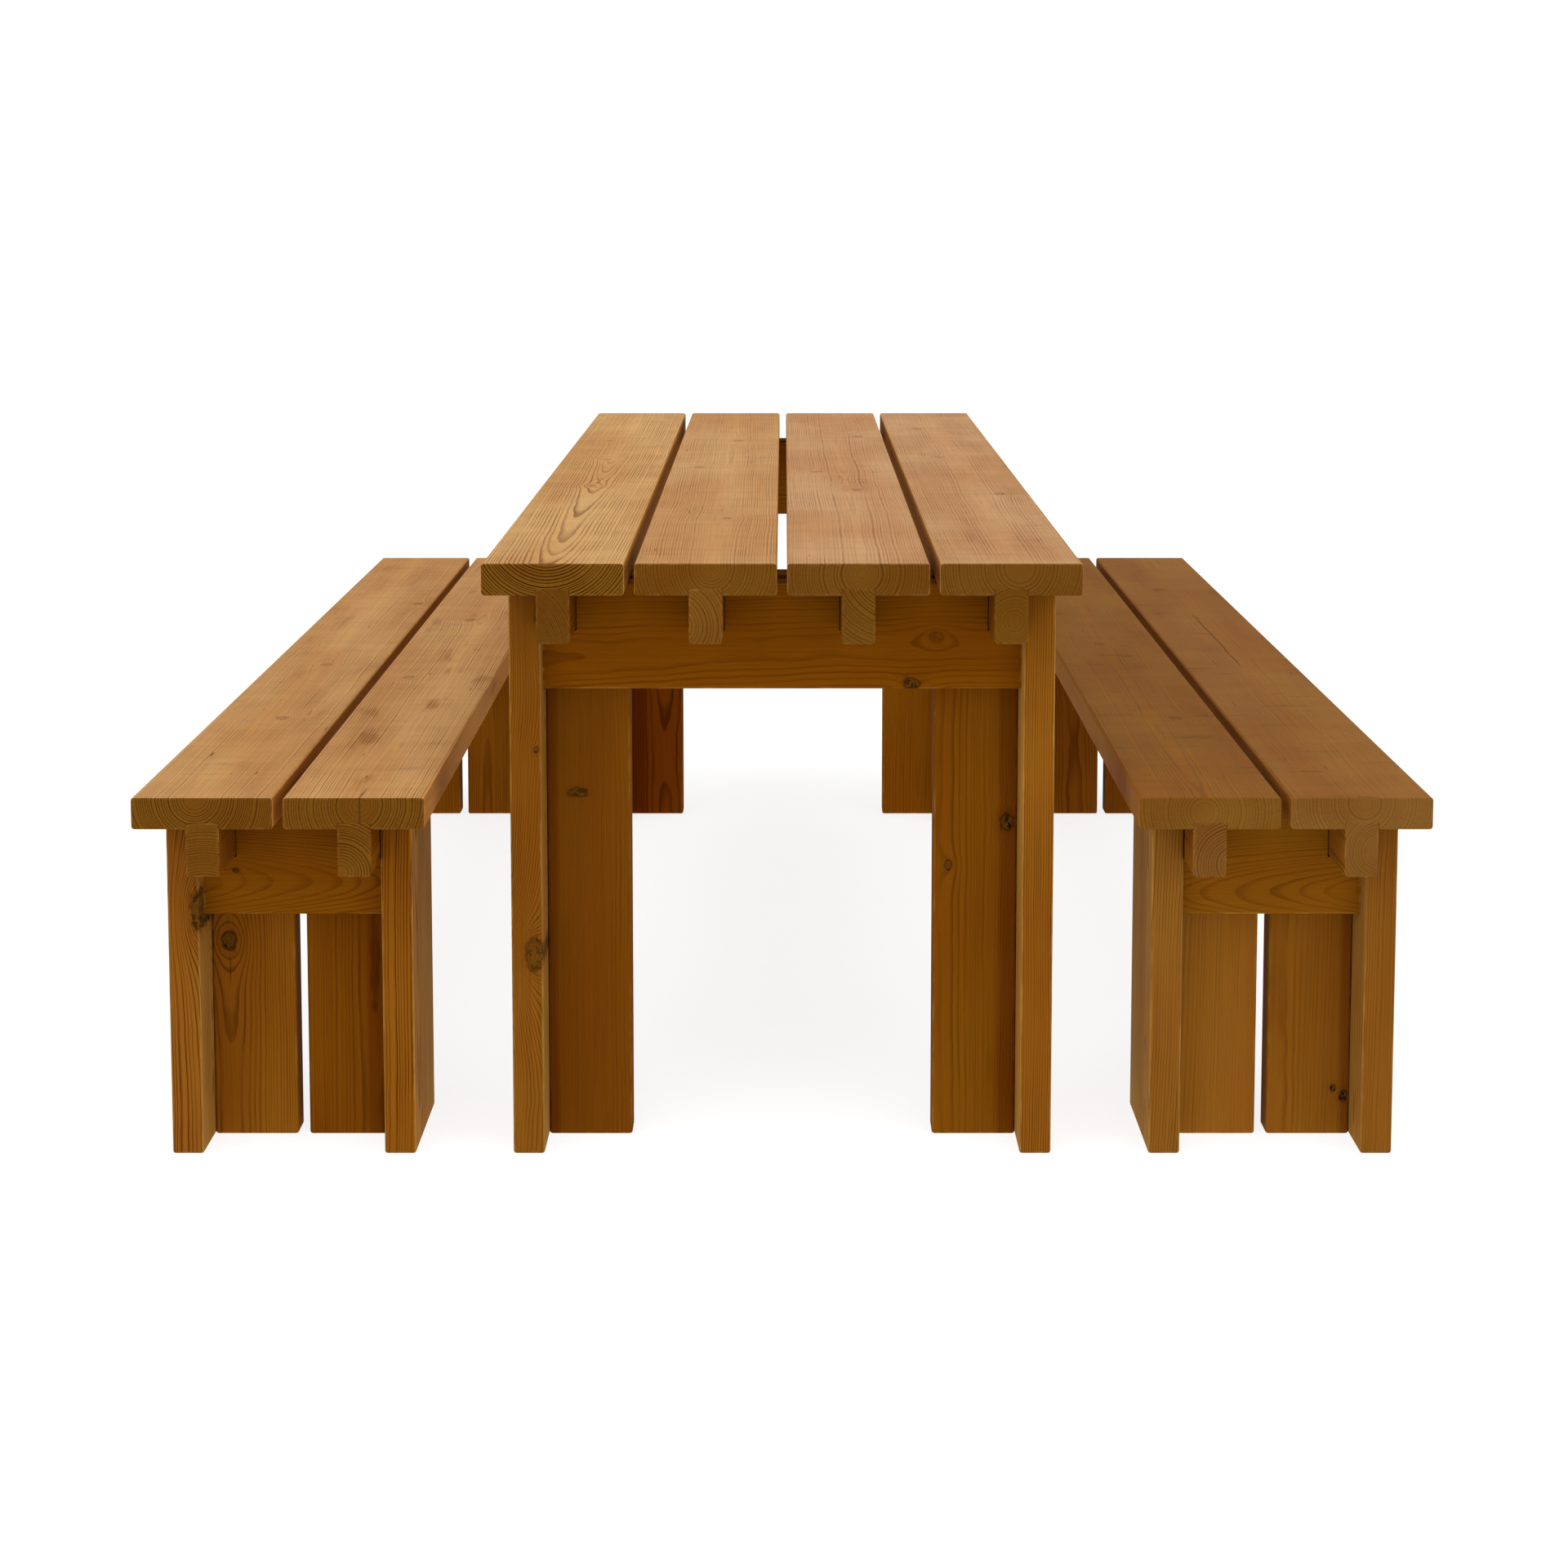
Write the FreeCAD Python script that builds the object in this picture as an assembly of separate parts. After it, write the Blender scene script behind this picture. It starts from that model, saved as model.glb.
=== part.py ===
import FreeCAD, Part
import os

# Picnic table with two free-standing benches, all built from planed softwood boards.
# Each item has the same build: full-length slats, a stem let into the underside of every slat, and a
# frame near each end. A frame has two legs at its outer edges, and between them a sandwich of an outer
# apron, two posts and an inner apron. All fasteners are hidden, in the undersides and the inner faces.
#
# Frame: millimetres, +X to the right, +Y along the slats away from the front, +Z up. The origin is on
# the ground under the middle of the table. Front means the -Y end.

# Driving dimensions
LENGTH = 1870.0                 # every slat and stem
TABLE_HEIGHT = 732.0
BENCH_HEIGHT = 455.0
TABLE_SLATS = 4
BENCH_SLATS = 2
BENCH_OFFSET = 591.0            # table centre line to bench centre line

BOARD_THICK = 38.0              # slats, legs, posts and aprons
BOARD_WIDTH = 166.0             # slats and legs
SLAT_GAP = 12.0
STEM_WIDTH = 39.0
STEM_BELOW_SLAT = 57.0
GROOVE_DEPTH = 8.0              # how far a stem is let into its slat
GROOVE_SLACK = 0.2              # each side of the stem

FRAME_SETBACK = 63.0            # slat end to the edge of the legs
LEG_GAP = 1.0                   # outer stem to leg
NOTCH_SLACK = 1.0               # each side of a stem in its apron notch
POST_SETBACK = 1.0              # post edge to the edge of the outer slat above it

EDGE_RADIUS = 4.0               # long edges and feet
END_RADIUS = 1.5                # ends of slats and stems
APRON_RADIUS = 3.0

# Fasteners: one wood screw size and one dowel size serve the whole set
SCREW_LENGTH = 70.0
SCREW_RADIUS = 3.0
SCREW_TIP = 7.0
HEAD_RADIUS = 5.5
HEAD_HEIGHT = 3.5
DRIVE_WIDTH = 4.0               # across the square drive socket
DRIVE_DEPTH = 2.5
SCREW_SLACK = 0.1
COUNTERBORE_RADIUS = 6.0
DOWEL_RADIUS = 5.0
DOWEL_LENGTH = 56.0
DOWEL_IN_APRON = 29.0
DOWEL_SLACK = 0.1

SLAT_SCREW_SEAT = 13.0          # depth of each screw's head below the surface it enters
LEG_SCREW_SEAT = 3.0
FRAME_SCREW_SEAT = 26.0
APRON_SCREW_SEAT = 30.0
SLAT_SCREW_END = 45.0           # slat end to the first slat screw
SLAT_SCREW_PITCHES = 6
FRAME_SCREW_FROM_STEM = (27.0, 61.0)
FRAME_SCREW_RISE = (24.0, 50.0)
DOWEL_RISE = (18.0, 53.0)

X = FreeCAD.Vector(1, 0, 0)
Y = FreeCAD.Vector(0, 1, 0)
Z = FreeCAD.Vector(0, 0, 1)

HALF = LENGTH / 2
SLAT_PITCH = BOARD_WIDTH + SLAT_GAP
LEG_EDGE = HALF - FRAME_SETBACK
SANDWICH = 3 * BOARD_THICK
APRON_FACE = LEG_EDGE - (BOARD_WIDTH - SANDWICH) / 2
ROUND_OFF = 0.001


def block(x, y, z):
    """A square-edged block that fills three (low, high) spans."""
    corner = FreeCAD.Vector(x[0], y[0], z[0])
    return Part.makeBox(x[1] - x[0], y[1] - y[0], z[1] - z[0], corner)


def along(shape, axis):
    """The straight edges of a shape that run along one axis."""
    found = []
    for edge in shape.Edges:
        run = edge.Vertexes[-1].Point.sub(edge.Vertexes[0].Point)
        if run.Length > ROUND_OFF and abs(abs(run.dot(axis)) - run.Length) < ROUND_OFF:
            found.append(edge)
    return found


def rim(shape, axis, level):
    """The edges of a shape that lie in the plane square to an axis at one level."""
    found = []
    for edge in shape.Edges:
        box = edge.BoundBox
        low = FreeCAD.Vector(box.XMin, box.YMin, box.ZMin).dot(axis)
        high = FreeCAD.Vector(box.XMax, box.YMax, box.ZMax).dot(axis)
        if abs(low - level) < ROUND_OFF and abs(high - level) < ROUND_OFF:
            found.append(edge)
    return found


def eased(shape, axis, ends, end_radius):
    """Rounds the long edges of a board, then the rims of the ends at the given levels."""
    shape = shape.makeFillet(EDGE_RADIUS, along(shape, axis))
    for level in ends:
        shape = shape.makeFillet(end_radius, rim(shape, axis, level))
    return shape


def slat(centre_x, top):
    """A slat with the groove for its stem along the underside."""
    x = (centre_x - BOARD_WIDTH / 2, centre_x + BOARD_WIDTH / 2)
    board = eased(block(x, (-HALF, HALF), (top - BOARD_THICK, top)), Y, (-HALF, HALF), END_RADIUS)
    groove_half = STEM_WIDTH / 2 + GROOVE_SLACK
    floor = top - BOARD_THICK + GROOVE_DEPTH
    groove = block(
        (centre_x - groove_half, centre_x + groove_half),
        (-HALF - 1, HALF + 1),
        (top - BOARD_THICK - 1, floor),
    )
    return board.cut(groove)


def stem(centre_x, top):
    """The bar under a slat, with its two lower edges and its ends eased below the groove."""
    underside = top - BOARD_THICK
    bottom = underside - STEM_BELOW_SLAT
    x = (centre_x - STEM_WIDTH / 2, centre_x + STEM_WIDTH / 2)
    bar = block(x, (-HALF, HALF), (bottom, underside + GROOVE_DEPTH))
    lower = [edge for edge in along(bar, Y) if edge.BoundBox.ZMax < underside]
    bar = bar.makeFillet(EDGE_RADIUS, lower)
    for level in (-HALF, HALF):
        ends = [edge for edge in rim(bar, Y, level) if edge.BoundBox.ZMin < underside]
        bar = bar.makeFillet(END_RADIUS, ends)
    return bar


def upright(x, y, height):
    """A leg or a post that stands on the ground, with a square top end."""
    board = block(x, y, (0, height))
    return eased(board, Z, (0,), EDGE_RADIUS - 1)


def apron(half_span, y, underside, stems):
    """A board across the frame, notched from above for every stem."""
    bottom = underside + BOARD_THICK - BOARD_WIDTH
    board = block((-half_span, half_span), y, (bottom, underside))
    board = board.makeFillet(APRON_RADIUS, along(board, X))
    notch_half = STEM_WIDTH / 2 + NOTCH_SLACK
    for centre_x in stems:
        low = centre_x - notch_half
        high = centre_x + notch_half
        if high + LEG_GAP > half_span:
            high = half_span + 1
        if low - LEG_GAP < -half_span:
            low = -half_span - 1
        board = board.cut(block((low, high), y, (underside - STEM_BELOW_SLAT, underside + 1)))
    return board


def turned(shape, start, direction):
    """Moves a shape made along +Z so that it starts at a point and runs in a direction."""
    shape.Placement = FreeCAD.Placement(start, FreeCAD.Rotation(Z, direction))
    return shape


def screw(surface, direction, seat):
    """A wood screw whose head sits below a surface, and the stepped hole that takes it."""
    body = Part.makeCylinder(SCREW_RADIUS, SCREW_LENGTH - SCREW_TIP)
    tip_start = FreeCAD.Vector(0, 0, SCREW_LENGTH - SCREW_TIP)
    tip = Part.makeCone(SCREW_RADIUS, SCREW_RADIUS / 6, SCREW_TIP, tip_start)
    head = Part.makeCylinder(HEAD_RADIUS, HEAD_HEIGHT, FreeCAD.Vector(0, 0, -HEAD_HEIGHT))
    half = DRIVE_WIDTH / 2
    socket = block((-half, half), (-half, half), (-HEAD_HEIGHT - 1, DRIVE_DEPTH - HEAD_HEIGHT))
    made = body.fuse([tip, head]).removeSplitter().cut(socket)
    bore = Part.makeCylinder(SCREW_RADIUS + SCREW_SLACK, SCREW_LENGTH + SCREW_SLACK)
    mouth = Part.makeCylinder(COUNTERBORE_RADIUS, seat + 1, FreeCAD.Vector(0, 0, -seat - 1))
    start = surface + direction * seat
    return turned(made, start, direction), turned(bore.fuse(mouth), start, direction)


def dowel(joint, direction):
    """A dowel that crosses the joint between an apron end and a leg, and its hole."""
    start = joint - direction * DOWEL_IN_APRON
    peg = Part.makeCylinder(DOWEL_RADIUS, DOWEL_LENGTH)
    peg = peg.makeChamfer(1.0, peg.Edges)
    hole_start = FreeCAD.Vector(0, 0, -DOWEL_SLACK)
    hole = Part.makeCylinder(DOWEL_RADIUS + DOWEL_SLACK, DOWEL_LENGTH + 2 * DOWEL_SLACK, hole_start)
    return turned(peg, start, direction), turned(hole, start, direction)


def slat_screws(stems, underside):
    """Screws up through every stem into its slat."""
    first = -HALF + SLAT_SCREW_END
    pitch = (LENGTH - 2 * SLAT_SCREW_END) / SLAT_SCREW_PITCHES
    bottom = underside - STEM_BELOW_SLAT
    made = []
    for centre_x in stems:
        for step in range(SLAT_SCREW_PITCHES + 1):
            surface = FreeCAD.Vector(centre_x, first + step * pitch, bottom)
            made.append(screw(surface, Z, SLAT_SCREW_SEAT))
    return made


def frame_screws(end, stems, underside):
    """Screws of one frame: through the sandwich, from the stems to the legs, and up into inner stems."""
    outward = Y * end
    bottom = underside + BOARD_THICK - BOARD_WIDTH
    inner_face = end * (APRON_FACE - SANDWICH)
    made = []
    for side in (-1, 1):
        outer_stem = side * max(stems)
        for inset, rise in zip(FRAME_SCREW_FROM_STEM, FRAME_SCREW_RISE):
            surface = FreeCAD.Vector(outer_stem - side * inset, inner_face, bottom + rise)
            made.append(screw(surface, outward, FRAME_SCREW_SEAT))
        behind = inner_face - end * (BOARD_WIDTH - SANDWICH) / 4
        height = underside - STEM_BELOW_SLAT / 2
        surface = FreeCAD.Vector(outer_stem - side * STEM_WIDTH / 2, behind, height)
        made.append(screw(surface, X * side, LEG_SCREW_SEAT))
    for centre_x in stems[1:-1]:
        for layer in (0.5, 2.5):
            y = end * (APRON_FACE - layer * BOARD_THICK)
            made.append(screw(FreeCAD.Vector(centre_x, y, bottom), Z, APRON_SCREW_SEAT))
    return made


def frame_dowels(end, half_span, underside):
    """Two dowels in each end of both aprons of one frame."""
    bottom = underside + BOARD_THICK - BOARD_WIDTH
    made = []
    for side in (-1, 1):
        for layer in (0.5, 2.5):
            y = end * (APRON_FACE - layer * BOARD_THICK)
            for rise in DOWEL_RISE:
                made.append(dowel(FreeCAD.Vector(side * half_span, y, bottom + rise), X * side))
    return made


def span(a, b):
    """Two levels as a (low, high) span."""
    return (min(a, b), max(a, b))


def frame(end, name, stems, underside):
    """The six boards of the frame at one end, as a dictionary of node name to solid."""
    leg_inner = max(stems) + STEM_WIDTH / 2 + LEG_GAP
    post_inner = max(stems) - BOARD_WIDTH / 2 + POST_SETBACK
    leg_y = span(end * LEG_EDGE, end * (LEG_EDGE - BOARD_WIDTH))
    layers = []
    for layer in range(3):
        near = end * (APRON_FACE - layer * BOARD_THICK)
        layers.append(span(near, near - end * BOARD_THICK))
    boards = {
        name + "_apron_outer": apron(leg_inner, layers[0], underside, stems),
        name + "_apron_inner": apron(leg_inner, layers[2], underside, stems),
    }
    for side, word in ((-1, "left"), (1, "right")):
        leg_x = span(side * leg_inner, side * (leg_inner + BOARD_THICK))
        post_x = span(side * leg_inner, side * post_inner)
        boards[name + "_leg_" + word] = upright(leg_x, leg_y, underside)
        boards[name + "_post_" + word] = upright(post_x, layers[1], underside - STEM_BELOW_SLAT)
    return boards


def drilled(board, holes):
    """Cuts every hole that reaches into a board."""
    near = [hole for hole in holes if hole.BoundBox.intersect(board.BoundBox)]
    return board.cut(near) if near else board


def item(name, places, height, count, centre_x):
    """A table or a bench: its boards drilled for its fasteners, and its fasteners in two groups."""
    underside = height - BOARD_THICK
    stems = [(number - (count - 1) / 2) * SLAT_PITCH for number in range(count)]
    half_span = max(stems) + STEM_WIDTH / 2 + LEG_GAP
    boards = {}
    for place, stem_x in zip(places, stems):
        boards[name + "_slat_" + place] = slat(stem_x, height)
        boards[name + "_stem_" + place] = stem(stem_x, height)
    screws = slat_screws(stems, underside)
    dowels = []
    for end, word in ((-1, "front"), (1, "back")):
        boards.update(frame(end, name + "_" + word, stems, underside))
        screws += frame_screws(end, stems, underside)
        dowels += frame_dowels(end, half_span, underside)
    holes = [hole for solid, hole in screws + dowels]
    nodes = {node: drilled(board, holes) for node, board in boards.items()}
    nodes[name + "_screws"] = Part.makeCompound([solid for solid, hole in screws])
    nodes[name + "_dowels"] = Part.makeCompound([solid for solid, hole in dowels])
    for shape in nodes.values():
        shape.translate(X * centre_x)
    return nodes


os.makedirs("parts", exist_ok=True)
table_places = ("left_outer", "left_inner", "right_inner", "right_outer")
bench_places = ("left", "right")
model = item("table", table_places, TABLE_HEIGHT, TABLE_SLATS, 0)
model.update(item("bench_left", bench_places, BENCH_HEIGHT, BENCH_SLATS, -BENCH_OFFSET))
model.update(item("bench_right", bench_places, BENCH_HEIGHT, BENCH_SLATS, BENCH_OFFSET))
for node_name, node_shape in model.items():
    node_shape.exportStep("parts/" + node_name + ".step")
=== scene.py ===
import math
import random

import bpy
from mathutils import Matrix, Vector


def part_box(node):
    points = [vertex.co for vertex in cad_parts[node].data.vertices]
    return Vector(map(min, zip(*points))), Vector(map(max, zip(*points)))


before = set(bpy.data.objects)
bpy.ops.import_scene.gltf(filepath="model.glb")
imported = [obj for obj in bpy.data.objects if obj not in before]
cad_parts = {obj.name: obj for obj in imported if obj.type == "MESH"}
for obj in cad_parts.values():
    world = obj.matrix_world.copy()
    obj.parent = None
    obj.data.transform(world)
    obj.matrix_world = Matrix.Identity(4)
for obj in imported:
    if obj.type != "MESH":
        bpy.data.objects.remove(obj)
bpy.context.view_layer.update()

MM = 0.001


# ---------------------------------------------------------------- node helpers

class Graph:
    """Short calls that add nodes to one tree and return their output sockets."""

    def __init__(self, tree):
        self.tree = tree

    def node(self, kind, inputs=(), out=0, **settings):
        made = self.tree.nodes.new(kind)
        for name, value in settings.items():
            setattr(made, name, value)
        for key, value in dict(inputs).items():
            self.feed(made.inputs[key], value)
        return made.outputs[out]

    def feed(self, socket, value):
        if isinstance(value, bpy.types.NodeSocket):
            self.tree.links.new(value, socket)
        else:
            socket.default_value = value

    def math(self, operation, *values, clamp=False):
        inputs = dict(enumerate(values))
        return self.node("ShaderNodeMath", inputs, operation=operation, use_clamp=clamp)

    def add(self, a, b):
        return self.math("ADD", a, b)

    def sub(self, a, b):
        return self.math("SUBTRACT", a, b)

    def mul(self, a, b):
        return self.math("MULTIPLY", a, b)

    def step(self, value, low, high, start=0.0, end=1.0):
        """A smooth step of value from low to high."""
        inputs = {0: value, 1: low, 2: high, 3: start, 4: end}
        return self.node("ShaderNodeMapRange", inputs, interpolation_type="SMOOTHSTEP")

    def split(self, vector):
        made = self.tree.nodes.new("ShaderNodeSeparateXYZ")
        self.feed(made.inputs[0], vector)
        return made.outputs[0], made.outputs[1], made.outputs[2]

    def join(self, x, y, z):
        return self.node("ShaderNodeCombineXYZ", {0: x, 1: y, 2: z})

    def scaled(self, vector, x, y, z):
        return self.node("ShaderNodeVectorMath", {0: vector, 1: (x, y, z)}, operation="MULTIPLY")

    def shifted(self, vector, other):
        return self.node("ShaderNodeVectorMath", {0: vector, 1: other}, operation="ADD")

    def noise(self, vector, scale=1.0, detail=2.0, rough=0.5, out=0):
        inputs = {"Vector": vector, "Scale": scale, "Detail": detail, "Roughness": rough}
        return self.node("ShaderNodeTexNoise", inputs, out=out)

    def noise_line(self, w, scale=1.0, detail=1.0):
        inputs = {"W": w, "Scale": scale, "Detail": detail}
        return self.node("ShaderNodeTexNoise", inputs, noise_dimensions="1D")

    def mix(self, factor, a, b, blend="MIX"):
        made = self.tree.nodes.new("ShaderNodeMix")
        made.data_type = "RGBA"
        made.blend_type = blend
        self.feed(made.inputs[0], factor)
        self.feed(made.inputs[6], a)
        self.feed(made.inputs[7], b)
        return made.outputs[2]


def group(name, inputs, outputs):
    """A new node group with typed sockets, its graph, and its input and output nodes."""
    tree = bpy.data.node_groups.new(name, "ShaderNodeTree")
    kinds = {"f": "NodeSocketFloat", "v": "NodeSocketVector", "c": "NodeSocketColor"}
    for label, kind in inputs.items():
        tree.interface.new_socket(label, in_out="INPUT", socket_type=kinds[kind])
    for label, kind in outputs.items():
        tree.interface.new_socket(label, in_out="OUTPUT", socket_type=kinds[kind])
    source = tree.nodes.new("NodeGroupInput").outputs
    sink = tree.nodes.new("NodeGroupOutput").inputs
    return tree, Graph(tree), source, sink


# ---------------------------------------------------------------- the timber
#
# A board is cut from a log, so its look is a solid texture: growth rings round a pith line that runs
# along the board. Board coordinates are millimetres from the board's middle: X across its width,
# Y through its thickness and Z along the grain.

def knot_group():
    """One knot: the grain flows round it, and the rings bulge out along it.

    Through is 1 for a knot seen on the broad faces and 0 for one seen on the narrow ones.
    """
    inputs = {"Board": "v", "Bulge": "f", "Through": "f", "Across": "f", "Along": "f", "Radius": "f",
              "Stretch": "f", "Flow": "f", "Swell": "f", "Seed": "f"}
    outputs = {"Board": "v", "Bulge": "f", "Core": "f", "Rim": "f", "Halo": "f", "Reach": "f"}
    tree, g, source, sink = group("knot", inputs, outputs)
    x, y, z = g.split(source["Board"])
    narrow = g.sub(1.0, source["Through"])
    u = g.sub(g.add(g.mul(x, source["Through"]), g.mul(y, narrow)), source["Across"])
    w = g.math("DIVIDE", g.sub(z, source["Along"]), source["Stretch"])
    ragged = g.noise(g.shifted(g.scaled(source["Board"], 0.13, 0.13, 0.13), source["Seed"]), detail=2.0)
    smooth = g.math("MAXIMUM", g.math("SQRT", g.add(g.mul(u, u), g.mul(w, w))), 0.3)
    reach = g.mul(smooth, g.add(0.5, ragged))
    ratio = g.math("DIVIDE", source["Radius"], reach)
    square = g.math("POWER", g.math("DIVIDE", source["Radius"], smooth), 2.0)
    squeeze = g.math("MINIMUM", g.mul(square, source["Flow"]), 0.97)
    moved = g.mul(g.mul(u, squeeze), -1.0)
    new_x = g.add(x, g.mul(moved, source["Through"]))
    new_y = g.add(y, g.mul(moved, narrow))
    swell = g.math("DIVIDE", g.mul(source["Swell"], square), g.add(square, 0.22))
    g.feed(sink["Board"], g.join(new_x, new_y, z))
    g.feed(sink["Bulge"], g.add(source["Bulge"], swell))
    g.feed(sink["Core"], g.step(ratio, 0.92, 1.12))
    g.feed(sink["Rim"], g.mul(g.step(ratio, 0.78, 1.0), g.step(ratio, 1.45, 1.1)))
    g.feed(sink["Halo"], g.step(ratio, 0.3, 1.0))
    g.feed(sink["Reach"], reach)
    return tree


def timber_group(name, planed):
    """Growth rings, fibres and tone of a board, as colour, relief and roughness.

    A slat is planed: its top also shows marks across the grain, stains and fine checks. Every other
    board is sawn. Board is the place in the board, Bent is that place with the grain bent by knots,
    and Bulge is how far the knots push the rings out.
    """
    inputs = {"Board": "v", "Bent": "v", "Bulge": "f", "Pith X": "f", "Pith Y": "f", "Tilt X": "f",
              "Tilt Y": "f", "Rings": "f", "Crowding": "f", "Wander": "f", "Ripple": "f",
              "Contrast": "f", "End Contrast": "f", "Heart X": "f", "Heart Side": "f", "Seed": "f",
              "End": "f", "Top": "f", "Edge": "f", "Side Light": "c", "Side Dark": "c",
              "Top Light": "c", "Top Dark": "c", "End Light": "c", "End Dark": "c"}
    if planed:
        inputs.update({"Flecks": "f", "Stains": "f"})
    tree, g, source, sink = group(name, inputs, {"Color": "c", "Height": "f", "Roughness": "f"})
    seed = source["Seed"]
    at = g.shifted(source["Board"], g.join(seed, g.mul(seed, 1.7), g.mul(seed, 2.3)))
    # the pith line wanders slowly along the grain, and the rings ripple over shorter lengths
    dx, dy, _ = g.split(g.noise(g.scaled(at, 0.006, 0.006, 0.0030), detail=1.0, out=1))
    rx, ry, _ = g.split(g.noise(g.scaled(at, 0.022, 0.022, 0.024), detail=1.0, out=1))
    x, y, z = g.split(source["Bent"])
    x = g.sub(g.sub(x, source["Pith X"]), g.mul(z, source["Tilt X"]))
    x = g.add(x, g.mul(g.sub(dx, 0.5), source["Wander"]))
    x = g.add(x, g.mul(g.sub(rx, 0.5), source["Ripple"]))
    y = g.sub(g.sub(y, source["Pith Y"]), g.mul(z, source["Tilt Y"]))
    y = g.add(y, g.mul(g.sub(dy, 0.5), source["Wander"]))
    y = g.add(y, g.mul(g.sub(ry, 0.5), source["Ripple"]))
    radius = g.sub(g.math("SQRT", g.add(g.mul(x, x), g.mul(y, y))), source["Bulge"])
    radius = g.math("MAXIMUM", radius, 0.5)
    # rings crowd together towards the bark, and good and bad years differ
    count = g.mul(source["Rings"], g.math("POWER", g.mul(radius, 0.01), source["Crowding"]))
    count = g.add(count, g.mul(g.noise_line(g.add(radius, seed), 0.07, 1.0), 2.2))
    year = g.math("FLOOR", count)
    part = g.math("FRACT", count)
    late = g.mul(g.step(part, 0.5, 0.9), g.step(part, 1.0, 0.94))
    year_tone = g.noise_line(g.add(g.mul(year, 3.7), seed), 1.0, 0.0)
    late = g.mul(late, g.add(0.55, year_tone))
    late = g.mul(late, g.step(radius, 3.0, 26.0, 0.25, 1.0))
    # pores and fibres run with the grain on a face and show as dots and rays on an end
    fibre = g.noise(g.scaled(at, 1.5, 1.5, 0.03), detail=1.0, rough=0.6)
    streak = g.noise(g.scaled(at, 0.30, 0.30, 0.005), detail=2.0, rough=0.6)
    dots = g.noise(g.scaled(at, 0.7, 0.7, 0.7), detail=1.0, rough=0.7)
    rays = g.noise(g.join(g.math("ARCTAN2", y, x), g.mul(radius, 0.004), 0.0), 22.0, 2.0, 0.7)
    patch = g.noise(g.scaled(at, 0.016, 0.016, 0.008), detail=1.0)
    tone = g.noise(g.scaled(at, 0.010, 0.010, 0.0026), detail=1.0)
    contrast = source["Contrast"]
    if planed:
        # short marks across the grain, brown stains, and short checks along the grain
        fleck = g.noise(g.scaled(at, 0.0125, 0.05, 0.052), detail=3.0, rough=0.6)
        fleck = g.mul(g.step(fleck, 0.61, 0.74), g.mul(source["Top"], source["Flecks"]))
        stain = g.noise(g.scaled(at, 0.020, 0.020, 0.0055), detail=2.0, rough=0.6)
        stain = g.mul(g.step(stain, 0.57, 0.74), g.mul(source["Top"], source["Stains"]))
        slit = g.noise(g.scaled(at, 0.26, 0.26, 0.017), detail=1.0)
        slit = g.mul(g.step(slit, 0.765, 0.80), g.mul(g.sub(1.0, source["End"]), source["Stains"]))
        contrast = g.add(contrast, g.mul(stain, 0.7))
    face_ring = g.mul(g.mul(late, contrast), g.step(patch, 0.3, 0.62, 0.45, 1.15))
    end_ring = g.mul(g.mul(late, source["End Contrast"]), g.step(patch, 0.25, 0.7, 0.75, 1.1))
    marks = g.add(g.mul(g.sub(0.5, fibre), 0.28), g.add(g.mul(g.sub(0.5, streak), 0.5), 0.06))
    if planed:
        marks = g.add(marks, g.add(g.mul(stain, 0.35), g.mul(slit, 3.0)))
    face_mark = g.math("ADD", face_ring, marks, clamp=True)
    end_mark = g.add(g.mul(g.sub(dots, 0.5), 0.25), g.mul(g.sub(rays, 0.5), 0.3))
    end_mark = g.math("ADD", end_ring, g.add(end_mark, 0.08), clamp=True)
    side = g.mix(face_mark, source["Side Light"], source["Side Dark"])
    top = g.mix(face_mark, source["Top Light"], source["Top Dark"])
    # the Top mask gives a face the paler top colours: partly bleached wood, partly a painted sheen
    face = g.mix(source["Top"], side, top)
    if planed:
        grey = g.mix(1.0, face, (0.66, 0.74, 1.15, 1.0), "MULTIPLY")
        face = g.mix(fleck, face, grey)
        # faint bands lie across the grain where the plane and the stain took differently
        band = g.noise(g.scaled(at, 0.005, 0.03, 0.030), detail=2.0, rough=0.6)
        band = g.mul(g.step(band, 0.42, 0.6), g.mul(source["Top"], 0.16))
        face = g.mix(band, face, g.mix(1.0, face, (0.72, 0.66, 0.6, 1.0), "MULTIPLY"))
    end = g.mix(end_mark, source["End Light"], source["End Dark"])
    colour = g.mix(source["End"], face, end)
    # the board is redder in some places and yellower in others, and its heartwood is darker
    warm = g.step(tone, 0.3, 0.7)
    redder = g.mix(1.0, colour, (0.92, 0.83, 0.74, 1.0), "MULTIPLY")
    colour = g.mix(warm, g.mix(1.0, colour, (1.03, 1.05, 1.06, 1.0), "MULTIPLY"), redder)
    across = g.add(g.split(source["Board"])[0], g.mul(g.sub(dx, 0.5), 12.0))
    inside = g.mul(g.sub(across, source["Heart X"]), source["Heart Side"])
    colour = g.mix(g.mul(g.step(inside, 0.0, 9.0), 0.7), colour,
                   g.mix(1.0, colour, (0.66, 0.5, 0.42, 1.0), "MULTIPLY"))
    # eased edges are rubbed paler and carry a painted highlight, but not evenly
    rub_and_highlight = g.mul(g.step(g.noise(g.scaled(at, 0.08, 0.08, 0.03), detail=2.0), 0.4, 0.7), source["Edge"])
    rub_and_highlight = g.mul(rub_and_highlight, g.sub(0.22, g.mul(source["End"], 0.14)))
    colour = g.mix(rub_and_highlight, colour, source["Top Light"])
    g.feed(sink["Color"], colour)
    g.feed(sink["Height"], g.sub(fibre, g.mul(slit, 6.0)) if planed else fibre)
    rough = g.add(0.78, g.add(g.mul(late, -0.08), g.mul(streak, 0.16)))
    g.feed(sink["Roughness"], g.sub(rough, g.mul(source["Top"], 0.16)))
    return tree


KNOT = knot_group()
SAWN = timber_group("timber_sawn", False)
PLANED = timber_group("timber_planed", True)

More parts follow.
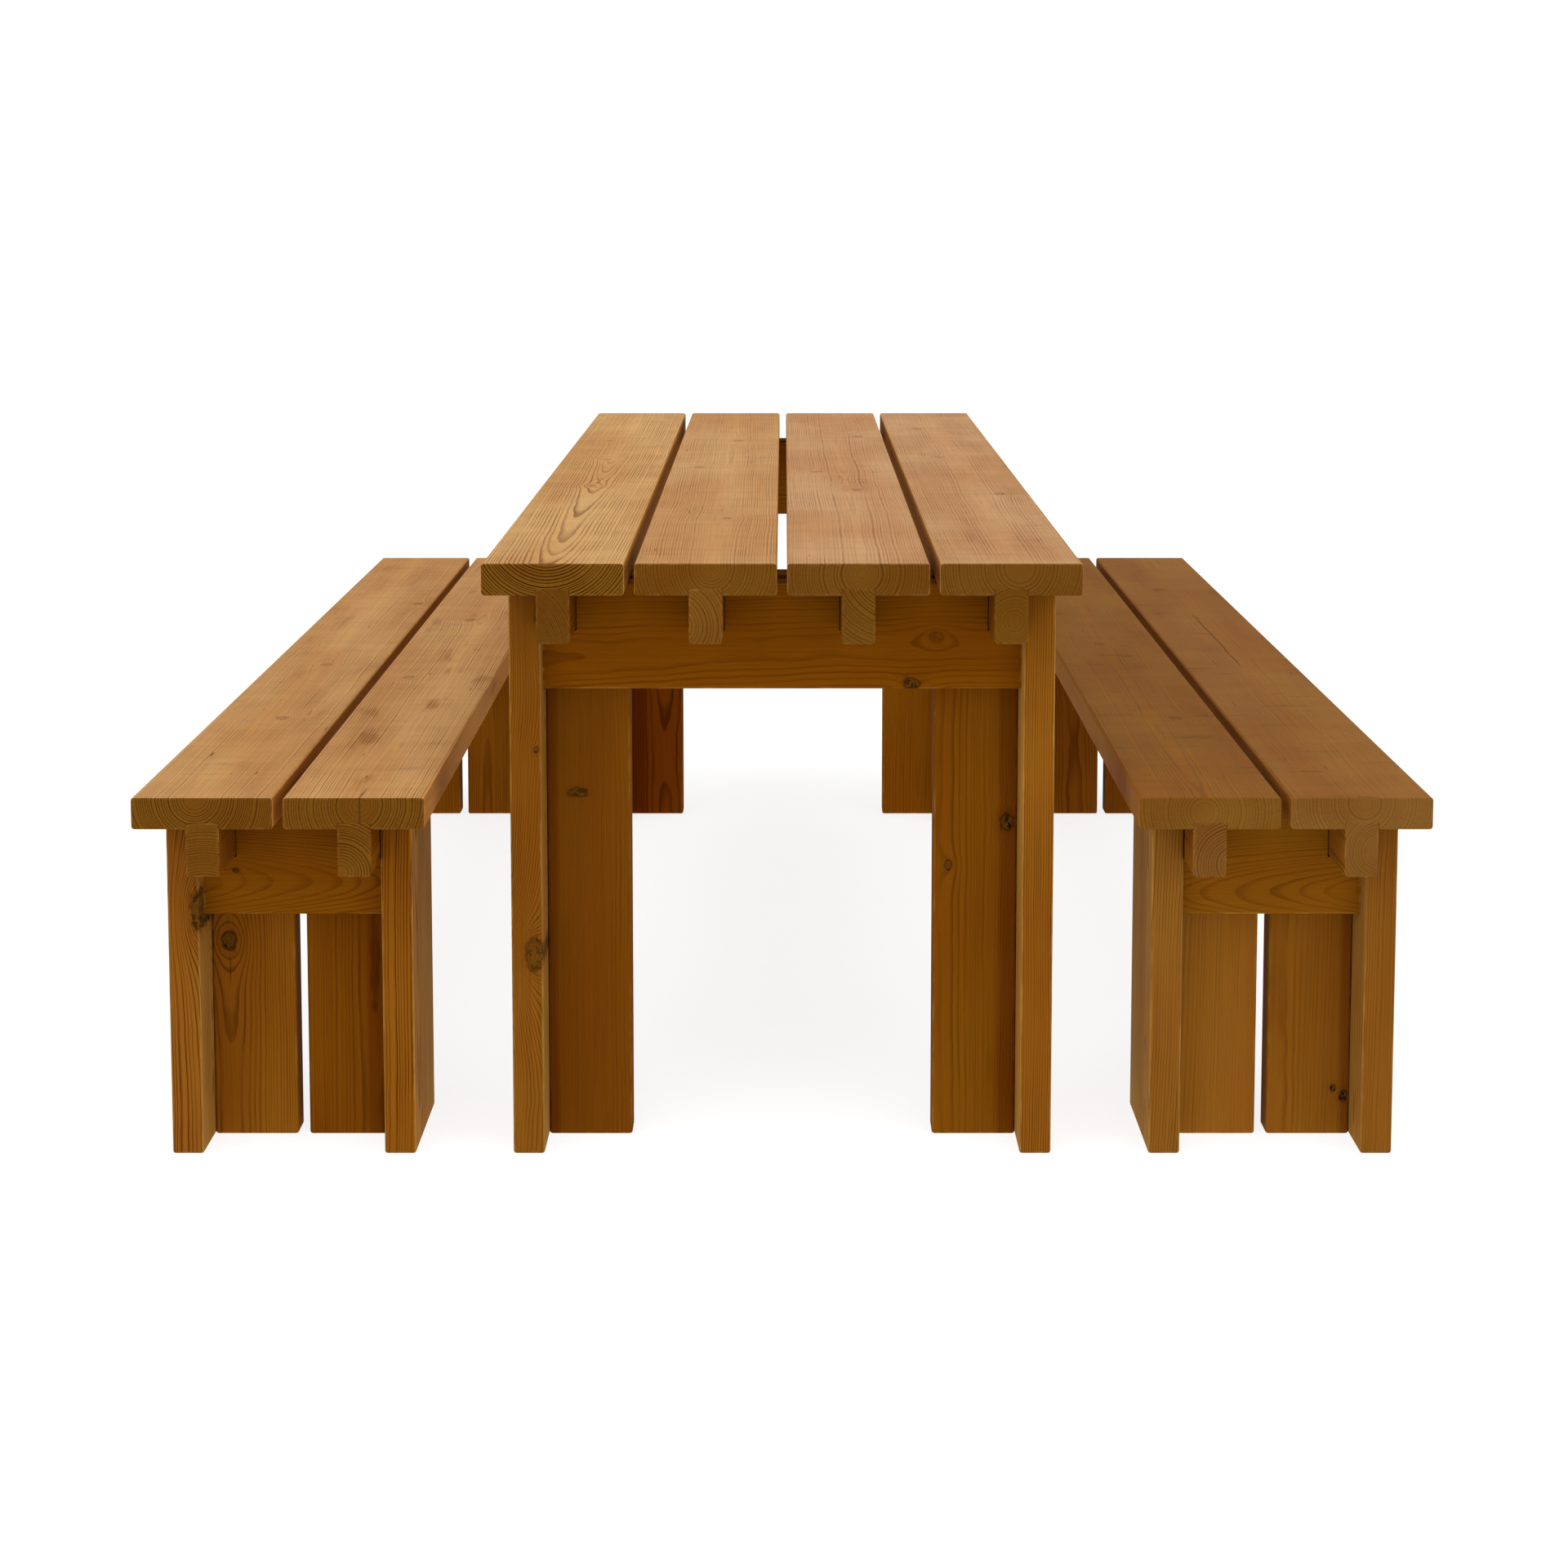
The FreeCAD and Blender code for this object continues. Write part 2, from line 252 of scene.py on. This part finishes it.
# which frame axis is across, through and along each kind of board
AXES = {"slat": (0, 2, 1), "stem": (0, 2, 1), "leg": (1, 0, 2), "post": (0, 1, 2), "apron": (2, 1, 0)}
# millimetres of the worn band along an edge, which also carries a painted highlight
WORN_AND_HIGHLIGHT_WIDTH = 4.0


def rgb(red, green, blue):
    """A colour given as display values from 0 to 255."""
    def linear(value):
        value /= 255
        return value / 12.92 if value <= 0.04045 else ((value + 0.055) / 1.055) ** 2.4
    return (linear(red), linear(green), linear(blue), 1.0)


KNOT_LIGHT = rgb(98, 64, 16)
KNOT_DARK = rgb(58, 34, 6)
KNOT_SPLIT = rgb(34, 18, 5)
KNOT_RIM = rgb(46, 22, 3)
CHECK_DARK = rgb(50, 28, 8)

# how much of the top's tone a slat's narrow sides take, and the tint that they get: painted light that lifts
# the sides shaded in the gaps between the slats
FLANK_PAINTED_LIGHT = {"amber": (0.38, (1.22, 1.14, 0.8, 1)), "olive": (0.8, (1.15, 1.15, 1.2, 1))}


def edge_wear_and_highlight(g, board, half):
    """1 on the eased long edges and corners of a board, 0 elsewhere."""
    gaps = []
    for value, reach in zip(g.split(board), half):
        gaps.append(g.sub(reach, g.math("ABSOLUTE", value)))
    low = g.math("MINIMUM", gaps[0], gaps[1])
    high = g.math("MAXIMUM", gaps[0], gaps[1])
    second = g.math("MINIMUM", high, g.math("MAXIMUM", low, gaps[2]))
    return g.step(second, WORN_AND_HIGHLIGHT_WIDTH * 0.9, WORN_AND_HIGHLIGHT_WIDTH * 0.15)


def add_knots(tree, g, board, knots):
    """Chains the knots of a board and returns the bent board position and what the knots show."""
    bent = board
    bulge = 0.0
    shown = {"Core": 0.0, "Rim": 0.0, "Halo": 0.0}
    reach = 1000.0
    for across_mm, along_mm, radius, *more in knots:
        settings = {"Across": across_mm, "Along": along_mm, "Radius": radius, "Through": 1.0,
                    "Stretch": 1.3, "Flow": 0.8, "Swell": 1.1 * radius, "Seed": random.uniform(0, 50)}
        for extra in more:
            settings.update(extra)
        depth = settings.pop("Depth", 0.9)
        made = tree.nodes.new("ShaderNodeGroup")
        made.node_tree = KNOT
        g.feed(made.inputs["Board"], bent)
        g.feed(made.inputs["Bulge"], bulge)
        for label, value in settings.items():
            g.feed(made.inputs[label], value)
        bent = made.outputs["Board"]
        bulge = made.outputs["Bulge"]
        reach = g.math("MINIMUM", reach, made.outputs["Reach"])
        for label in shown:
            shown[label] = g.math("MAXIMUM", shown[label], g.mul(made.outputs[label], depth))
    return bent, bulge, reach, shown


def check_line(g, board, across_mm, start, end):
    """1 along a thin drying check that wavers along the grain between two places."""
    x, y, z = g.split(board)
    waver = g.mul(g.sub(g.noise_line(z, 0.012, 2.0), 0.5), 7.0)
    gap = g.math("ABSOLUTE", g.sub(g.sub(x, across_mm), waver))
    ends = g.mul(g.step(z, start, start + 40), g.step(z, end, end - 40))
    return g.mul(g.step(gap, 1.5, 0.3), ends)


def board_material(node, kind, look):
    """The timber of one board: its own log, knots and colours."""
    material = bpy.data.materials.new(node)
    material.use_nodes = True
    tree = material.node_tree
    tree.nodes.clear()
    g = Graph(tree)
    low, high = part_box(node)
    middle = (low + high) / 2
    across, through, along = AXES[kind]
    half = [(high[axis] - low[axis]) / 2 / MM for axis in (across, through, along)]
    coords = tree.nodes.new("ShaderNodeTexCoord")
    place = g.node("ShaderNodeVectorMath", {0: coords.outputs["Object"], 1: tuple(-middle)}, operation="ADD")
    parts = g.split(g.scaled(place, 1 / MM, 1 / MM, 1 / MM))
    board = g.join(parts[across], parts[through], parts[along])
    normal = g.split(coords.outputs["Normal"])
    bent, bulge, reach, shown = add_knots(tree, g, board, look["knots"])
    timber = tree.nodes.new("ShaderNodeGroup")
    timber.node_tree = PLANED if kind == "slat" else SAWN
    g.feed(timber.inputs["Board"], board)
    g.feed(timber.inputs["Bent"], bent)
    g.feed(timber.inputs["Bulge"], bulge)
    g.feed(timber.inputs["End"], g.step(g.math("ABSOLUTE", normal[along]), 0.55, 0.85))
    g.feed(timber.inputs["Edge"], edge_wear_and_highlight(g, board, half))
    g.feed(timber.inputs["Seed"], random.uniform(0, 900))
    for label, value in look["timber"].items():
        g.feed(timber.inputs[label], value)
    colour = timber.outputs["Color"]
    height = timber.outputs["Height"]
    if kind == "leg":
        # a leg's broad faces take a third of the pale top colours: a painted sheen
        broad = g.step(g.math("ABSOLUTE", normal[through]), 0.4, 0.9)
        g.feed(timber.inputs["Top"], g.mul(broad, 0.32))
    if kind == "slat":
        # a slat's narrow sides take part of the top colours and a warm tint: painted light on sides that lie
        # in shade between the slats
        flank = g.step(g.math("ABSOLUTE", normal[across]), 0.4, 0.9)
        painted_light_share, tint = FLANK_PAINTED_LIGHT["olive" if node.startswith("bench_right") else "amber"]
        # faces turned up take the top colours, whose paleness is partly a painted sheen
        top = g.math("MAXIMUM", g.step(normal[2], 0.35, 0.8), g.mul(flank, painted_light_share))
        g.feed(timber.inputs["Top"], top)
        contrast = look["timber"]["Contrast"]
        g.feed(timber.inputs["Contrast"], g.sub(contrast, g.mul(flank, 0.75 * contrast)))
        colour = g.mix(flank, colour, g.mix(1.0, colour, tint, "MULTIPLY"))
    if look["knots"]:
        shade = g.mix(1.0, colour, (0.66, 0.55, 0.48, 1), "MULTIPLY")
        colour = g.mix(g.mul(shown["Halo"], 0.45), colour, shade)
        rings = g.noise(g.scaled(board, 0.3, 0.3, 0.3), detail=1.0)
        rings = g.math("FRACT", g.add(g.mul(reach, 0.3), rings))
        heart = g.mix(g.mul(rings, 0.6), KNOT_LIGHT, KNOT_DARK)
        colour = g.mix(shown["Core"], colour, heart)
        split = g.step(g.noise(g.scaled(board, 0.14, 0.14, 0.14), detail=2.0, rough=0.7), 0.5, 0.58)
        colour = g.mix(g.mul(g.mul(split, shown["Core"]), 0.8), colour, KNOT_SPLIT)
        colour = g.mix(g.mul(shown["Rim"], 0.45), colour, KNOT_RIM)
    for line in look["checks"]:
        crack = check_line(g, board, *line)
        colour = g.mix(g.mul(crack, 0.75), colour, CHECK_DARK)
        height = g.sub(height, g.mul(crack, 3.0))
    shader = tree.nodes.new("ShaderNodeBsdfPrincipled")
    g.feed(shader.inputs["Base Color"], colour)
    g.feed(shader.inputs["Roughness"], timber.outputs["Roughness"])
    shader.inputs["Specular IOR Level"].default_value = 0.03
    shader.inputs["Specular Tint"].default_value = (1.0, 0.62, 0.18, 1.0)
    bump = g.node("ShaderNodeBump", {"Height": height, "Strength": 0.4, "Distance": 0.0006})
    g.feed(shader.inputs["Normal"], bump)
    output = tree.nodes.new("ShaderNodeOutputMaterial")
    g.feed(output.inputs["Surface"], shader.outputs[0])
    return material


def fastener_material(name, light, dark, metallic, rough, along_scale):
    """Brushed or turned stock for the hidden screws and dowels, with streaks, specks and wear."""
    material = bpy.data.materials.new(name)
    material.use_nodes = True
    tree = material.node_tree
    g = Graph(tree)
    shader = tree.nodes["Principled BSDF"]
    coords = tree.nodes.new("ShaderNodeTexCoord").outputs["Object"]
    brushed = g.noise(g.scaled(coords, 900, 900, 900 * along_scale), detail=4.0, rough=0.6)
    cloud = g.noise(g.scaled(coords, 60, 60, 60), detail=3.0)
    specks = g.step(g.noise(g.scaled(coords, 420, 420, 420), detail=2.0), 0.62, 0.72)
    worn = g.math("ADD", g.mul(brushed, 0.6), g.add(g.mul(cloud, 0.5), g.mul(specks, 0.35)), clamp=True)
    g.feed(shader.inputs["Base Color"], g.mix(worn, light, dark))
    g.feed(shader.inputs["Roughness"], g.add(rough, g.mul(brushed, 0.25)))
    shader.inputs["Metallic"].default_value = metallic
    bump = g.node("ShaderNodeBump", {"Height": brushed, "Strength": 0.25, "Distance": 0.0002})
    g.feed(shader.inputs["Normal"], bump)
    return material


# ---------------------------------------------------------------- looks of the boards

# Top colours are paler than Side colours partly as a painted sheen; the olive tops carry less painted sheen
# than the amber ones
PALETTES = {
    "amber": {"Side Light": rgb(130, 76, 11), "Side Dark": rgb(74, 34, 2),
              "Top Light": rgb(210, 159, 100), "Top Dark": rgb(134, 87, 38),
              "End Light": rgb(115, 73, 19), "End Dark": rgb(34, 16, 1)},
    "olive": {"Side Light": rgb(139, 87, 23), "Side Dark": rgb(88, 46, 6),
              "Top Light": rgb(150, 97, 42), "Top Dark": rgb(98, 58, 16),
              "End Light": rgb(124, 82, 35), "End Dark": rgb(52, 30, 5)},
}

# knots that hardly show, and knots that come out on a narrow side
FAINT = {"Depth": 0.22}
EDGE_ON = {"Through": 0.0}
NO_HEART = 500.0

# Chosen boards: where the pith is, in millimetres from the board's middle, how the rings run, knots as
# (across, along, radius) and checks as (across, start, end). Shade tints the board's palette. Every
# other board gets a log from the seed.
LOOKS = {
    "table_slat_left_outer": {
        "shade": (1.05, 1.1, 1.12),
        "Pith X": -3, "Pith Y": 34, "Tilt Y": -0.025, "Rings": 26, "Crowding": 1.2, "Wander": 7,
        "Ripple": 1.4, "Contrast": 0.72, "End Contrast": 0.88, "Stains": 0.1,
        "knots": [(-9, -194, 6, FAINT), (-10, 145, 6, FAINT), (-27, 430, 6, FAINT)]},
    "table_slat_left_inner": {
        "shade": (0.98, 1, 1.08),
        "Pith X": 5, "Pith Y": 12, "Rings": 29, "Contrast": 0.55, "End Contrast": 0.42,
        "knots": [(16, -546, 7, FAINT), (15, 430, 8, FAINT), (-40, 40, 8, FAINT)]},
    "table_slat_right_inner": {
        "shade": (0.96, 0.98, 1.22),
        "Pith X": 3, "Pith Y": 10, "Rings": 27, "Contrast": 0.5, "End Contrast": 0.42,
        "knots": [(-37, -22, 8, FAINT), (18, -242, 8, FAINT), (40, 500, 9, FAINT)]},
    "table_slat_right_outer": {
        "shade": (0.93, 0.94, 1.14),
        "Pith X": 7, "Pith Y": 14, "Rings": 28, "Contrast": 0.5, "End Contrast": 0.4,
        "knots": [(-17, 180, 9, FAINT), (40, -289, 8, FAINT), (-30, 640, 9, FAINT)]},
    "table_stem_left_outer": {
        "shade": (0.88, 0.88, 0.95),
        "Pith X": -60, "Pith Y": -40, "Rings": 40, "End Contrast": 0.5},
    "table_stem_left_inner": {
        "shade": (1.12, 1.15, 1.6),
        "Pith X": -40, "Pith Y": -12, "Rings": 24, "End Contrast": 0.5},
    "table_stem_right_inner": {
        "shade": (0.92, 0.97, 1.1),
        "Pith X": 45, "Pith Y": 60, "Rings": 24, "End Contrast": 0.5},
    "table_stem_right_outer": {
        "shade": (0.9, 0.95, 1),
        "Pith X": 6, "Pith Y": -4, "Rings": 30, "End Contrast": 0.35},
    "table_front_apron_outer": {
        "shade": (0.91, 0.89, 0.5),
        "Pith X": -18, "Pith Y": 34, "Tilt Y": 0.012, "Tilt X": 0.02, "Rings": 25, "Contrast": 0.32,
        "Wander": 18, "Ripple": 2, "knots": [(0, 185, 6, {"Depth": 0.35, "Stretch": 1.4}), (-58, 156, 8)]},
    "table_front_leg_left": {
        "shade": (1, 1.1, 2),
        "Pith X": -30, "Pith Y": 46, "Tilt Y": 0.045, "Rings": 46, "Contrast": 0.56,
        "knots": [(9, -101, 11, EDGE_ON, {"Swell": 30, "Stretch": 1.9, "Depth": 0.7}),
                  (13, 150, 3, EDGE_ON), (24, 318, 12, EDGE_ON, {"Swell": 30})]},
    "table_front_leg_right": {
        "shade": (1.2, 1.35, 2.4),
        "Pith X": -60, "Pith Y": -70, "Tilt X": 0.0, "Tilt Y": 0.004, "Rings": 34, "Contrast": 0.62,
        "Wander": 9},
    "table_front_post_left": {
        "shade": (0.83, 0.84, 1.05),
        "Pith X": 70, "Pith Y": 40, "Tilt X": 0.0, "Rings": 50, "Contrast": 0.26,
        "Wander": 6, "Heart X": -35, "Heart Side": -1,
        "knots": [(-13, 112, 12, {"Stretch": 0.5, "Depth": 0.7, "Swell": 4})]},
    "table_front_post_right": {
        "shade": (0.9, 0.92, 0.9),
        "Pith X": -60, "Pith Y": 62, "Tilt X": 0.0, "Tilt Y": 0.0, "Rings": 21,
        "Crowding": 1.7, "Contrast": 0.3, "Wander": 8, "Heart X": 24, "Heart Side": 1,
        "knots": [(-33, 21, 4, {"Depth": 1.2}), (38, 75, 8, {"Depth": 1.2})]},
    "table_back_post_left": {
        "shade": (0.75, 0.55, 0.4),
        "Heart X": -10, "Heart Side": -1, "Contrast": 0.5,
        "knots": [(-34, 78, 6), (14, 92, 7)]},
    "bench_left_slat_left": {
        "Pith X": -10, "Pith Y": 16, "End Contrast": 0.6, "Stains": 0.4,
        "knots": [(9, -498, 9, FAINT), (60, 414, 8, FAINT), (3, -127, 8, FAINT)]},
    "bench_left_slat_right": {
        "Pith X": 9, "Pith Y": 8.5, "End Contrast": 0.6, "Stains": 1.0,
        "knots": [(-40, -220, 8, FAINT), (-10, 255, 9, FAINT)], "checks": [(8, -960, -880)]},
    "bench_left_stem_left": {"Pith X": 4, "Pith Y": -70, "Rings": 30, "End Contrast": 0.5},
    "bench_left_stem_right": {"Pith X": -16, "Pith Y": -26, "Rings": 28, "End Contrast": 0.6},
    "bench_left_front_apron_outer": {
        "shade": (0.9, 0.88, 0.7),
        "Pith X": -24, "Pith Y": 30, "Tilt Y": 0.09, "Rings": 34, "Contrast": 0.34, "Wander": 8,
        "knots": [(-9, -70, 3)]},
    "bench_left_front_leg_left": {
        "shade": (1.13, 1.22, 2.6),
        "Pith X": -20, "Pith Y": 44, "Rings": 32, "Contrast": 0.72,
        "knots": [(20, 92, 10, EDGE_ON, {"Swell": 34, "Stretch": 2.4, "Depth": 0.8})]},
    "bench_left_front_leg_right": {
        "shade": (1.14, 1.22, 1.8),
        "Pith X": -50, "Pith Y": -56, "Rings": 27, "Contrast": 0.7, "Wander": 12},
    "bench_left_front_post_left": {
        "shade": (1.1, 1.18, 1.8),
        "Pith X": -30, "Pith Y": 22, "Rings": 30, "Contrast": 0.46, "Wander": 10,
        "knots": [(-30, 65, 9, {"Swell": 14, "Depth": 1.2})], "checks": [(-30, 0, 60)]},
    "bench_left_front_post_right": {
        "shade": (0.86, 0.82, 0.7),
        "Pith X": 30, "Pith Y": 34, "Rings": 34, "Contrast": 0.4, "Wander": 10, "Heart X": 18,
        "Heart Side": 1},
    "bench_right_slat_left": {
        "shade": (1, 1.03, 0.75),
        "Pith X": -4, "Pith Y": 6, "Contrast": 0.4, "End Contrast": 0.34, "Flecks": 1.0,
        "knots": [(25, -498, 8, FAINT), (-10, 40, 8, FAINT)]},
    "bench_right_slat_right": {
        "shade": (1.08, 1.15, 1.15),
        "Pith X": 6, "Pith Y": 12, "Contrast": 0.36, "End Contrast": 0.34, "Flecks": 1.0,
        "knots": [(-20, 560, 9, FAINT)], "checks": [(0, -150, 320)]},
    "bench_right_stem_right": {"Pith X": 22, "Pith Y": 2, "Rings": 30, "End Contrast": 0.34},
    "bench_right_front_apron_outer": {
        "shade": (0.95, 0.97, 0.6),
        "Pith X": -36, "Pith Y": 28, "Tilt Y": -0.08, "Rings": 30, "Contrast": 0.3, "Wander": 10},
    "bench_right_front_post_right": {
        "shade": (0.97, 0.99, 1),
        "Pith X": -40, "Pith Y": 46, "Rings": 36, "Contrast": 0.3, "Wander": 8, "Heart X": 33,
        "Heart Side": 1, "knots": [(31, -121, 3.5, {"Depth": 1.2}), (43, -131, 5, {"Depth": 1.2})]},
    "bench_right_front_post_left": {
        "shade": (1.13, 1.18, 1.45),
        "Pith X": -75, "Pith Y": 40, "Rings": 34, "Contrast": 0.26, "Wander": 8},
    "table_back_post_right": {"shade": (1.15, 1.17, 1.0)},
    "bench_right_back_post_left": {"shade": (0.68, 0.55, 0.4)},
    "bench_right_back_post_right": {"shade": (0.7, 0.6, 0.5)},
    "bench_right_front_leg_left": {
        "shade": (1, 1.12, 1.7),
        "Pith X": -50, "Pith Y": 60, "Rings": 30, "Contrast": 0.5, "Wander": 12},
    "bench_right_front_leg_right": {
        "shade": (0.95, 1.02, 1.35),
        "Pith X": -50, "Pith Y": -60, "Rings": 30, "Contrast": 0.5, "Wander": 12},
}


# how far from a board's middle a knot may lie along the grain, in millimetres
KNOT_REACH = {"slat": 720, "leg": 160, "post": 144}


def timber_look(name, kind):
    """The log of a board, from the seed and from what is chosen for it."""
    timber = {"Pith X": random.uniform(-12, 12), "Pith Y": random.uniform(6, 14),
              "Tilt X": random.uniform(-0.004, 0.004), "Tilt Y": random.uniform(-0.004, 0.004),
              "Rings": random.uniform(27, 33), "Crowding": 1.1, "Wander": 12.0, "Ripple": 1.6,
              "Contrast": 0.6, "End Contrast": 0.45, "Heart X": NO_HEART, "Heart Side": 1.0}
    if kind == "slat":
        timber.update({"Flecks": 0.6, "Stains": 0.2})
    elif kind == "stem":
        timber.update({"Pith X": random.uniform(-45, 45), "Pith Y": random.uniform(-30, 60)})
    else:
        timber.update({"Pith X": random.uniform(-40, 40),
                       "Pith Y": random.choice((-1, 1)) * random.uniform(12, 50),
                       "Tilt X": random.uniform(-0.02, 0.02), "Tilt Y": random.uniform(-0.02, 0.02),
                       "Wander": 16.0, "Rings": random.uniform(27, 35), "Contrast": 0.45})
    knots = []
    if name not in LOOKS and kind in KNOT_REACH:
        reach = KNOT_REACH[kind]
        for _ in range(random.choice((0, 1, 2))):
            knots.append((random.uniform(-45, 45), random.uniform(-reach, reach), random.uniform(4, 9)))
    chosen = dict(LOOKS.get(name, {}))
    knots = chosen.pop("knots", knots)
    checks = chosen.pop("checks", ())
    shade = chosen.pop("shade", (1, 1, 1))
    timber.update(chosen)
    # only slats are olive on top: the broad faces of every other board take the amber top tone, whose
    # paleness is partly a painted sheen
    palette = dict(PALETTES["olive" if name.startswith("bench_right") else "amber"])
    if kind != "slat":
        palette.update({key: value for key, value in PALETTES["amber"].items() if key.startswith("Top")})
    for label, colour in palette.items():
        blue = 0.65 * shade[1] if label.startswith("Top") and kind != "slat" else shade[2]
        tint = (shade[0], shade[1], blue, 1)
        timber[label] = tuple(value * by for value, by in zip(colour, tint))
    return {"timber": timber, "knots": knots, "checks": checks}


random.seed(20)
ZINC = fastener_material("screw_zinc", (0.62, 0.61, 0.58, 1), (0.34, 0.33, 0.30, 1), 1.0, 0.25, 0.05)
BEECH = fastener_material("dowel_beech", rgb(214, 178, 134), rgb(160, 116, 74), 0.0, 0.5, 0.3)
for name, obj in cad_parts.items():
    kind = next((word for word in AXES if "_" + word in name), None)
    if kind:
        made = board_material(name, kind, timber_look(name, kind))
    else:
        made = ZINC if name.endswith("_screws") else BEECH
    obj.data.materials.clear()
    obj.data.materials.append(made)


# ---------------------------------------------------------------- stage, light and camera

# metres: the flat part of the floor, the sweep that lifts its rim, and the top of the rim
FLAT_RADIUS = 7.0
SWEEP_RADIUS = 16.0
RIM = (32.0, 13.0)
SEGMENTS = 96
FLOOR_GREY = (0.30, 0.30, 0.30, 1)
FLOOR_GLOW = 0.82

SENSOR_MM = 36.0
LENS_MM = 58.171875
LENS_SHIFT = -0.24
CAMERA_AT = (0.0023, -3.8467, 1.1804)
CAMERA_DOWN = 0.0914


def stage_floor():
    """A plain pale floor that rises far away into a low round backdrop."""
    profile = [(FLAT_RADIUS, 0.0)]
    for step in range(1, 13):
        turn = math.radians(step * 2.5)
        out, up = math.sin(turn), 1 - math.cos(turn)
        profile.append((FLAT_RADIUS + SWEEP_RADIUS * out, SWEEP_RADIUS * up))
    profile.append(RIM)
    verts = [(0.0, 0.0, 0.0)]
    for radius, height in profile:
        for step in range(SEGMENTS):
            turn = 2 * math.pi * step / SEGMENTS
            verts.append((radius * math.cos(turn), radius * math.sin(turn), height))
    faces = [(0, 1 + step, 1 + (step + 1) % SEGMENTS) for step in range(SEGMENTS)]
    for ring in range(len(profile) - 1):
        start = 1 + ring * SEGMENTS
        for step in range(SEGMENTS):
            after = (step + 1) % SEGMENTS
            faces.append((start + step, start + SEGMENTS + step, start + SEGMENTS + after, start + after))
    mesh = bpy.data.meshes.new("floor")
    mesh.from_pydata(verts, [], faces)
    mesh.shade_smooth()
    floor = bpy.data.objects.new("floor", mesh)
    bpy.context.scene.collection.objects.link(floor)
    material = bpy.data.materials.new("floor_pale")
    material.use_nodes = True
    shader = material.node_tree.nodes["Principled BSDF"]
    shader.inputs["Base Color"].default_value = FLOOR_GREY
    shader.inputs["Roughness"].default_value = 1.0
    shader.inputs["Specular IOR Level"].default_value = 0.0
    shader.inputs["Emission Color"].default_value = (1, 1, 1, 1)
    shader.inputs["Emission Strength"].default_value = FLOOR_GLOW
    mesh.materials.append(material)


def sun(name, strength, elevation, azimuth, angle):
    """A soft sun: elevation above the ground, azimuth from the front towards the right, in degrees."""
    light = bpy.data.lights.new(name, "SUN")
    light.energy = strength
    light.angle = math.radians(angle)
    obj = bpy.data.objects.new(name, light)
    obj.rotation_euler = (math.radians(90 - elevation), 0, math.radians(azimuth))
    bpy.context.scene.collection.objects.link(obj)


def world_light(strength):
    """White light from all round."""
    world = bpy.data.worlds.new("studio")
    world.use_nodes = True
    world.node_tree.nodes["Background"].inputs[0].default_value = (1, 1, 1, 1)
    world.node_tree.nodes["Background"].inputs[1].default_value = strength
    bpy.context.scene.world = world


def camera():
    """Stands in front of the end, on the middle line, above the table top, and looks slightly down."""
    data = bpy.data.cameras.new("camera")
    data.sensor_width = SENSOR_MM
    data.lens = LENS_MM
    data.shift_y = LENS_SHIFT
    cam = bpy.data.objects.new("camera", data)
    cam.location = CAMERA_AT
    cam.rotation_euler = (math.radians(90) - CAMERA_DOWN, 0, 0)
    bpy.context.scene.collection.objects.link(cam)
    bpy.context.scene.camera = cam


stage_floor()
world_light(0.35)
sun("key", 1.3, 72, 0, 50)
sun("left_fill", 1.0, 20, -58, 45)
sun("right_fill", 1.0, 20, 58, 45)
camera()
# a few bounces are enough in the open
bpy.context.scene.cycles.max_bounces = 4
bpy.context.scene.cycles.diffuse_bounces = 2
bpy.context.scene.view_settings.view_transform = "Standard"
